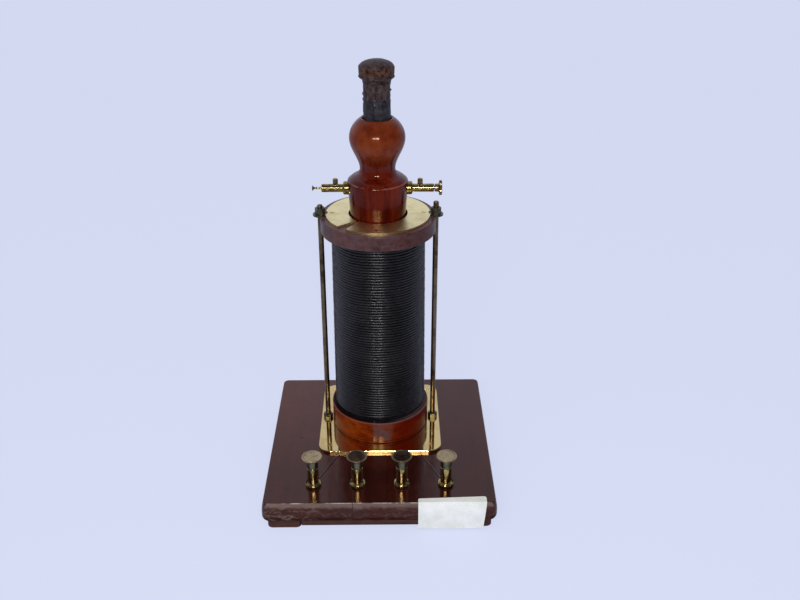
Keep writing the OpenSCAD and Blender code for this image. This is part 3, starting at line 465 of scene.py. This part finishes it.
FINISHES = {
    "base_mahogany": varnished_wood("base_mahogany", srgb(26, 2, 1), srgb(50, 12, 7), "Y", gloss=0.13,
                                    shine=0.55, tint=srgb(255, 206, 184), worn=board_wear_and_highlights,
                                    dull=matt_underside),
    "dark_wood": varnished_wood("dark_wood", srgb(58, 34, 30), srgb(88, 62, 56), "X", gloss=0.5,
                                shine=0.15),
    "flange_red": varnished_wood("flange_red", srgb(96, 22, 2), srgb(146, 62, 10), "X", gloss=0.16,
                                 shine=0.25, coat=0.1, worn=lower_flange_wear_and_shade, dull=matt_flange),
    "flange_mahogany": varnished_wood("flange_mahogany", srgb(54, 24, 24), srgb(90, 56, 54), "X",
                                      gloss=0.22, shine=0.25, worn=upper_flange_wear),
    "head_wood": varnished_wood("head_wood", srgb(58, 4, 1), srgb(100, 28, 10), "Z", gloss=0.12,
                                shine=0.18, tint=srgb(255, 190, 150), coat=0.2, worn=head_tone),
    "screw_brass": aged_metal("screw_brass", srgb(226, 198, 130), srgb(120, 92, 50)),
    "plate_brass": aged_metal("plate_brass", srgb(226, 198, 134), srgb(188, 158, 102),
                              stained=0.6, smooth=0.03, dull=0.12, patch=40),
    "split_brass": aged_metal("split_brass", srgb(255, 240, 176), srgb(228, 204, 140),
                              stained=0.6, smooth=0.34, dull=0.44, patch=60),
    "rod_bronze": aged_metal("rod_bronze", srgb(140, 122, 98), srgb(48, 38, 34),
                             stained=0.75, smooth=0.34, dull=0.5, patch=60),
    "nut_brass": aged_metal("nut_brass", srgb(116, 112, 96), srgb(52, 50, 46),
                            stained=0.8, smooth=0.4, dull=0.6, patch=220),
    "lead_wire": aged_metal("lead_wire", srgb(132, 122, 126), srgb(70, 56, 58),
                            stained=0.6, smooth=0.3, dull=0.5),
    "post_brass": aged_metal("post_brass", srgb(196, 180, 122), srgb(84, 72, 44),
                             stained=0.75, smooth=0.1, dull=0.32, patch=160),
    "sleeve_bronze": aged_metal("sleeve_bronze", srgb(128, 124, 98), srgb(66, 62, 46),
                                stained=0.6, smooth=0.25, dull=0.45, patch=200),
    "terminal_brass": aged_metal("terminal_brass", srgb(180, 160, 100), srgb(80, 62, 34),
                                 stained=0.75, smooth=0.16, dull=0.36, patch=200),
    "knob_brass": aged_metal("knob_brass", srgb(170, 146, 104), srgb(78, 62, 42),
                             stained=0.6, smooth=0.24, dull=0.42, patch=240),
    "cap_brass": cap_metal("cap_brass"),
    "iron_wire": annealed_iron("iron_wire"),
    "covered_wire": covered_wire("covered_wire", srgb(5, 3, 6), srgb(20, 16, 21)),
    "black_tape": cloth_tape("black_tape"),
    "knob_ebonite": worn_ebonite("knob_ebonite"),
    "tube_board": shellacked_board("tube_board"),
}


def dress_nodes():
    """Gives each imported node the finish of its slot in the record."""
    for part in frame["record"]["subparts"]:
        mesh = frame["nodes"][part["node"]].data
        mesh.materials.clear()
        mesh.materials.append(FINISHES[part["material_slot"]])


# ---- mesh building ----

SHARP = math.radians(35)


def add_object(name, points, faces, material):
    """An object with smooth shading between its sharp edges."""
    mesh = bpy.data.meshes.new(name)
    mesh.from_pydata([tuple(p) for p in points], [], faces)
    mesh.validate()
    mesh.polygons.foreach_set("use_smooth", [True] * len(mesh.polygons))
    mesh.set_sharp_from_angle(angle=SHARP)
    mesh.materials.append(material)
    made = bpy.data.objects.new(name, mesh)
    bpy.context.scene.collection.objects.link(made)
    return made


def add_piece(name, points, faces, finish, body, replaces=None):
    """A piece that takes a finish by its slot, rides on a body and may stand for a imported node."""
    piece = add_object(name, points, faces, FINISHES[finish])
    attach(piece, body)
    if replaces:
        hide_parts(replaces)


def skin(rings, closed=False):
    """Points and faces of rings of equally many points. Open ends get a cap each, and closed
    joins the last ring to the first."""
    n = len(rings[0])
    points = [p for ring in rings for p in ring]
    last = len(rings) if closed else len(rings) - 1
    faces = []
    for i in range(last):
        a, b = i * n, (i + 1) % len(rings) * n
        for k in range(n):
            j = (k + 1) % n
            faces.append((a + k, a + j, b + j, b + k))
    if not closed:
        faces.append(tuple(reversed(range(n))))
        faces.append(tuple(range(len(points) - n, len(points))))
    return points, faces


def turned(profile, centre, sides, swell=None):
    """Rings of a piece turned about an upright axis, from (radius, height) points.
    swell(angle, height) moves a point outwards."""
    rings = []
    for r, z in profile:
        ring = []
        for k in range(sides):
            a = TURN * k / sides
            out = r + (swell(a, z) if swell else 0.0)
            ring.append(Vector((centre[0] + out * math.cos(a), centre[1] + out * math.sin(a), z)))
        rings.append(ring)
    return rings


def noise_place(angle, height, around, upwards):
    """A place on a cylinder, stretched both ways for the noise that makes a surface uneven."""
    return Vector((math.cos(angle) * around, math.sin(angle) * around, height * upwards))


# ---- windings ----


def wound(name, radii, wire, low, turns, pitch, steps, sides, unevenness, body, replaces):
    """One unbroken helix of round wire on the coil's axis, laid a little unevenly. radii are the
    winding's outer radius at its bottom and at its top, wire is the wire's own, and each turn
    has so many steps of so many sides."""
    start = 0.25
    rings = []
    for step in range(turns * steps + 1):
        a = TURN * (step / steps + start)
        wander = noise.noise(noise_place(a, step / steps, 3, 0.9))
        outside = radii[0] + (radii[1] - radii[0]) * step / (turns * steps)
        r = outside - wire - unevenness * (0.5 + wander)
        z = low + wire + pitch * step / steps + 0.3 * unevenness * wander
        out = Vector((math.cos(a), math.sin(a), 0))
        centre = Vector((COIL.x, COIL.y, z)) + out * r
        ring = []
        for k in range(sides):
            b = TURN * k / sides
            ring.append(centre + out * wire * math.cos(b) - Vector((0, 0, wire * math.sin(b))))
        rings.append(ring)
    points, faces = skin(rings)
    add_piece(name, points, faces, "covered_wire", body, replaces)


def wind_secondary():
    """The outer layer of turns, drawn in a little towards the top, with a dark gap below."""
    low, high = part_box("outer_winding_core")
    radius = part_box("outer_winding")[1].x
    drawn_in = 1.1 * MM
    gap_below, gap_above = 2.2 * MM, 0.2 * MM
    turns = 66
    pitch = (high.z - low.z - gap_below - gap_above) / (turns + 1)
    wound("secondary_turns", (radius, radius - drawn_in), wire=pitch * 0.485, low=low.z + gap_below,
          turns=turns, pitch=pitch, steps=96, sides=12, unevenness=0.28 * MM, body="stand",
          replaces="outer_winding")


def wind_primary():
    """The primary's turns, out of sight until it is lifted."""
    low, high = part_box("inner_winding")
    wire_pitch = 1.9 * MM
    turns = int((high.z - low.z) / wire_pitch) - 1
    pitch = (high.z - low.z) / (turns + 1)
    radius = (high.x - low.x) / 2
    wound("primary_turns", (radius, radius), wire=pitch * 0.49, low=low.z, turns=turns, pitch=pitch,
          steps=72, sides=11, unevenness=0.08 * MM, body="inner_coil", replaces="inner_winding")


# ---- iron core ----


def wrap_core():
    """Tape wound up the core with a small step at each overlap, and lumps near the knob."""
    low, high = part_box("core_tape")
    radius = (high.x - low.x) / 2
    wall = 0.75 * MM
    ring_gap = 0.75 * MM
    lead = 15 * MM
    overlap, overlap_from = 0.22 * MM, 0.94
    unevenness = 0.12 * MM
    lumps_from = high.z - 19 * MM
    lumps_full = 1.5 * MM
    lump, sunk = 3.2 * MM, 0.25 * MM
    knots_over = 0.28

    def swell(a, z):
        wrap = (z / lead + a / TURN) % 1.0
        out = -overlap * wrap
        if wrap >= overlap_from:
            out = -overlap * (1 - wrap) / (1 - overlap_from)
        place = noise_place(a, z, 2.2, 260)
        out += unevenness * noise.noise(place)
        if z > lumps_from:
            knot = max(0.0, noise.noise(place * 1.7 + Vector((7, 3, 1))) - knots_over)
            out += min(1.0, (z - lumps_from) / lumps_full) * (lump * knot - sunk)
        return out

    count = round((high.z - low.z) / ring_gap)
    outside = [(radius, low.z + (high.z - low.z) * i / count) for i in range(count + 1)]
    inside = [(radius - wall, high.z), (radius - wall, low.z)]
    rings = turned(outside, COIL, 72, swell) + turned(inside, COIL, 72)
    points, faces = skin(rings, closed=True)
    add_piece("core_wrapping", points, faces, "black_tape", "core", "core_tape")


def arc(centre, rx, rz, start, end, count):
    """Points of an elliptical arc as (radius, height). Angles in degrees."""
    angles = [math.radians(start + (end - start) * i / count) for i in range(count + 1)]
    return [(centre[0] + rx * math.cos(a), centre[1] + rz * math.sin(a)) for a in angles]


def turn_core_knob():
    """The knob on the core: a flared foot, a bead, a groove and a low crown, worn uneven."""
    low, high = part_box("core_knob")
    radius = (high.x - low.x) / 2
    waist = 12.5 * MM
    flare = low.z + 4 * MM
    flare_x = radius + 0.4 * MM
    bead_x, bead_z = 0.9 * MM, 1.1 * MM
    crown_z = low.z + 12.4 * MM
    profile = [(0.2 * MM, low.z), (waist - 0.3 * MM, low.z)]
    profile += arc((flare_x, low.z), flare_x - waist, flare - low.z, 180, 112, 8)
    profile += arc((radius - bead_x, flare + bead_z), bead_x, bead_z, -70, 80, 8)
    profile += [(radius - 0.75 * MM, flare + 2.7 * MM), (radius - 0.35 * MM, flare + 3.4 * MM)]
    profile += arc((0, crown_z), radius - 0.15 * MM, high.z - crown_z, 0, 89, 26)[:-1]

    def swell(a, z):
        place = noise_place(a, z, 2.4, 210)
        lumps = (0.45 if z > crown_z else 0.3) * MM
        pits = 0.2 * MM
        return lumps * noise.noise(place) + pits * noise.noise(place * 3.1) - pits

    points, faces = skin(turned(profile, middle("core_knob"), 96, swell))
    add_piece("worn_core_knob", points, faces, "knob_ebonite", "core", "core_knob")


# ---- screws ----

CENTRE_FLAT = 0.1 * MM     # where a head's profile ends, beside its axis


def knurled(profile, grip, teeth, depth, base, direction):
    """Points and faces of a small turned head, with straight knurls between the two heights of
    grip. It is built on +Z and then turned to a direction, with its height 0 at base."""

    def groove(a, z):
        return -depth * (0.5 - 0.5 * math.cos(teeth * a)) if grip[0] <= z <= grip[1] else 0.0

    turn = Vector(direction).to_track_quat("Z", "Y")
    rings = turned(profile, (0, 0), teeth * 4, groove)
    return skin([[base + turn @ p for p in ring] for ring in rings])


def knurl_set_screw(side):
    """The small head of the set screw on a terminal."""
    name = f"set_screw_{side}_head"
    low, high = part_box(name)
    centre = middle(name)
    r = (high.x - low.x) / 2
    tall = high.z - low.z
    bevel, crown = 0.35 * MM, 0.5 * MM
    profile = [(CENTRE_FLAT, 0), (r - bevel, 0), (r, bevel), (r, tall - crown), (r - crown, tall),
               (r * 0.5, tall - 0.1 * MM), (CENTRE_FLAT, tall - 0.15 * MM)]
    base = Vector((centre.x, centre.y, low.z))
    grip = (bevel, tall - crown)
    points, faces = knurled(profile, grip, teeth=26, depth=0.16 * MM, base=base, direction=(0, 0, 1))
    add_piece(f"knurled_set_{side}", points, faces, "knob_brass", f"set_{side}_head", name)


def knurl_end_knob():
    """The right end screw's knob: a plain neck and a knurled flange."""
    low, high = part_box("end_screw_right_knob")
    centre = middle("end_screw_right_knob")
    r = (high.z - low.z) / 2
    long = high.x - low.x
    neck = 3.6 * MM
    flange = long - 2.6 * MM
    bevel = 0.45 * MM
    grip = (flange + bevel, long - bevel)
    profile = [(CENTRE_FLAT, 0), (neck - 0.4 * MM, 0), (neck, 0.4 * MM), (neck, flange - 1.4 * MM),
               (neck + 0.35 * MM, flange - 0.4 * MM), (neck + 1.2 * MM, flange),
               (r - 0.5 * MM, flange), (r, grip[0]), (r, grip[1]),
               (r - 0.5 * MM, long), (r * 0.45, long - 0.15 * MM), (CENTRE_FLAT, long - 0.2 * MM)]
    base = Vector((low.x, centre.y, centre.z))
    points, faces = knurled(profile, grip, teeth=48, depth=0.22 * MM, base=base, direction=(1, 0, 0))
    add_piece("knurled_end_right", points, faces, "knob_brass", "end_right_head", "end_screw_right_knob")


def cut_thread(side, reach):
    """A fine helical thread round the free top end of a tie rod."""
    low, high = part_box(f"tie_rod_{side}")
    centre = middle(f"tie_rod_{side}")
    r = (high.x - low.x) / 2
    pitch = 0.75 * MM
    free_tip = 1.1 * MM
    run_in, run_out = 0.4, 0.05
    ridge, bite = 0.16 * MM, 0.1 * MM
    half_crest, half_root = Vector((0, 0, 0.06 * MM)), Vector((0, 0, 0.3 * MM))
    steps = 32
    turns = int((reach - free_tip) / pitch)
    rings = []
    for step in range(turns * steps + 1):
        a = TURN * step / steps
        fade = min(1.0, step / steps, (turns * steps - step) / steps + run_out)
        out = Vector((math.cos(a), math.sin(a), 0))
        at = Vector((centre.x, centre.y, high.z - reach + pitch * (step / steps + run_in)))
        crest = at + out * (r + ridge * fade)
        root = at + out * (r - bite)
        rings.append([root - half_root, crest - half_crest, crest + half_crest, root + half_root])
    points, faces = skin(rings)
    add_piece(f"thread_{side}", points, faces, "rod_bronze", "stand")


# ---- label ----


def label_path():
    """The label's line over the board's front as (y, z) points: flat on top, round the edge, down
    the swollen side to its widest place, and free below."""
    low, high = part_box("base_board")
    on_top = 5 * MM
    bulge, edge_r = 1.7 * MM, 0.5 * MM
    waist, foot = low.z + 9 * MM, 2 * MM
    stands_off = 0.25 * MM
    side_steps, free_steps = 12, 6
    climb = high.z - edge_r - waist
    swell_r = (climb ** 2 + bulge ** 2) / (2 * bulge)
    path = [(low.y + bulge + edge_r + on_top, high.z), (low.y + bulge + edge_r, high.z)]
    path += [(low.y + bulge + edge_r * (1 - math.sin(a)), high.z - edge_r * (1 - math.cos(a)))
             for a in (math.radians(30), math.radians(60))]
    for i in range(side_steps + 1):
        z = high.z - edge_r - climb * i / side_steps
        path.append((low.y + swell_r - math.sqrt(swell_r ** 2 - (z - waist) ** 2), z))
    path += [(low.y - stands_off * (i / free_steps) ** 2, waist - (waist - foot) * i / free_steps)
             for i in range(1, free_steps + 1)]
    return path


def sheet_faces(columns, rows):
    """Faces of a thin sheet: its inner and its outer layer of points, row by row, and its border."""

    def index(layer, i, j):
        return (layer * (rows + 1) + j) * (columns + 1) + i

    faces = []
    for j in range(rows):
        for i in range(columns):
            square = [(i, j), (i + 1, j), (i + 1, j + 1), (i, j + 1)]
            faces.append([index(1, a, b) for a, b in reversed(square)])
            faces.append([index(0, a, b) for a, b in square])
    border = [(i, 0) for i in range(columns)] + [(columns, j) for j in range(rows)]
    border += [(i, rows) for i in range(columns, 0, -1)] + [(0, j) for j in range(rows, 0, -1)]
    for a, b in zip(border, border[1:] + border[:1]):
        faces.append([index(0, *a), index(1, *a), index(1, *b), index(0, *b)])
    return faces


def lay_label():
    """A blank paper label with rounded corners, laid a little askew over the board's front edge."""
    left, right = 35.2 * MM, 97.4 * MM
    thick, lift = 0.18 * MM, 0.08 * MM
    corner = 1.6 * MM
    askew, lean = 2.6 * MM, 0.09
    columns, rows = 40, 60
    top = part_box("base_board")[1].z
    path = label_path()
    lengths = [math.dist(a, b) for a, b in zip(path, path[1:])]
    total = sum(lengths)

    def place(u, v, out):
        """u across, v from the label's back edge over the fold and down, out from the wood."""
        across = (u - left) / (right - left)
        i = 0
        while i < len(lengths) - 1 and v > lengths[i]:
            v -= lengths[i]
            i += 1
        share = v / lengths[i]
        (ya, za), (yb, zb) = path[i], path[i + 1]
        out_y, out_z = (zb - za) / lengths[i], -(yb - ya) / lengths[i]
        skew = askew * across * (1 - share) if i == 0 else 0.0
        y = ya + (yb - ya) * share + skew + out_y * (lift + out)
        z = za + (zb - za) * share + out_z * (lift + out)
        return Vector((u - across * max(0.0, top - z) * lean, y, z))

    points = []
    for out in (0.0, thick):
        for j in range(rows + 1):
            v = total * j / rows
            near = max(0.0, min(v, total - v, corner))
            inset = corner - math.sqrt(corner ** 2 - (corner - near) ** 2)
            width = right - left - 2 * inset
            points += [place(left + inset + width * i / columns, v, out) for i in range(columns + 1)]
    label = add_object("blank_label", points, sheet_faces(columns, rows), label_paper("label_paper"))
    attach(label, "stand")


# ---- studio ----

BACKDROP = srgb(215, 221, 245)
AIM = (0, 0.02, 0.2)


def make_camera():
    """The photograph's viewpoint, solved from the edges and turned rings of the object."""
    data = bpy.data.cameras.new("camera")
    data.sensor_width = 36
    data.lens = 42.58
    data.clip_start = 0.01
    camera = bpy.data.objects.new("camera", data)
    camera.location = (0.0111, -0.77882, 0.58575)
    camera.rotation_euler = (math.radians(62.614), 0, math.radians(-0.639))
    bpy.context.scene.collection.objects.link(camera)
    bpy.context.scene.camera = camera


def make_floor():
    """A pale bench. To the camera most of its brightness is its own, so that it looks even.
    In reflections it is darker towards the front, like the room."""
    size = 9.0
    own_light, lit_share = 0.845, 0.2
    f = Finish("floor", Roughness=0.9, Specular_IOR_Level=0.1, Emission_Color=BACKDROP)
    path = f.node("LightPath").outputs
    seen = path["Is Camera Ray"]
    front = f.times(path["Is Glossy Ray"], f.spread(f.axis("Y"), -0.8, 0.0, 0.8, 0.0))
    lit = f.mix(front, BACKDROP, (0, 0, 0, 1))
    f.set("Base Color", f.mix(seen, lit, darker(BACKDROP, lit_share)))
    f.set("Emission Strength", f.times(seen, own_light))
    corners = [(-size, -size, 0), (size, -size, 0), (size, size, 0), (-size, size, 0)]
    add_object("floor", corners, [(0, 1, 2, 3)], f.material)


def make_world():
    """A pale room, darker on the side that the object faces. The camera sees only the backdrop's
    colour, and the object is lit by a plain fill."""
    world = bpy.data.worlds.new("room")
    bpy.context.scene.world = world
    world.use_nodes = True
    tree = world.node_tree
    tree.nodes.clear()

    def larger(a, b):
        return add_node(tree, "Math", {0: a, 1: b}, operation="MAXIMUM").outputs[0]

    path = add_node(tree, "LightPath").outputs
    seen = larger(path["Is Camera Ray"], path["Is Transmission Ray"])
    direct = larger(seen, path["Is Glossy Ray"])
    direction = add_node(tree, "TexCoord").outputs["Generated"]
    towards = add_node(tree, "VectorMath", {0: direction, 1: (-0.22, 0.95, 0)}, operation="DOT_PRODUCT")
    limits = {"From Min": -0.4, "From Max": 0.8, "To Min": 0.1, "To Max": 0.95}
    room = add_node(tree, "MapRange", {"Value": towards.outputs["Value"], **limits},
                    interpolation_type="SMOOTHSTEP")
    strength = larger(room.outputs["Result"], seen)
    fill = add_node(tree, "Background", {"Color": srgb(250, 250, 255), "Strength": 0.38})
    backdrop = add_node(tree, "Background", {"Color": BACKDROP, "Strength": strength})
    mix = add_node(tree, "MixShader", {0: direct, 1: fill.outputs[0], 2: backdrop.outputs[0]})
    add_node(tree, "OutputWorld", {"Surface": mix.outputs[0]})


def add_light(name, kind, energy, location, **settings):
    data = bpy.data.lights.new(name, kind)
    data.energy = energy
    for key, value in settings.items():
        setattr(data, key, value)
    light = bpy.data.objects.new(name, data)
    light.location = location
    light.rotation_euler = (Vector(AIM) - Vector(location)).to_track_quat("-Z", "Y").to_euler()
    bpy.context.scene.collection.objects.link(light)
    return light


def light_studio():
    """A soft key, the camera's flash and a weaker window beside it."""
    sun = add_light("soft_key", "SUN", 0.6, (-0.6, -1.5, 2.0), angle=math.radians(70))
    sun.visible_glossy = False
    add_light("flash", "AREA", 2.2, (0.03, -0.80, 0.605), shape="RECTANGLE", size=0.13, size_y=0.09)
    add_light("window", "AREA", 1.5, (-0.20, -0.84, 0.66), shape="RECTANGLE", size=0.11, size_y=0.09)


# ---- the whole object ----

make_camera()
dress_nodes()
wind_secondary()
wind_primary()
wrap_core()
turn_core_knob()
knurl_set_screw("left")
knurl_set_screw("right")
knurl_end_knob()
cut_thread("left", 3 * MM)
cut_thread("right", 6 * MM)
lay_label()
make_floor()
make_world()
light_studio()

bpy.context.scene.view_settings.view_transform = "Standard"
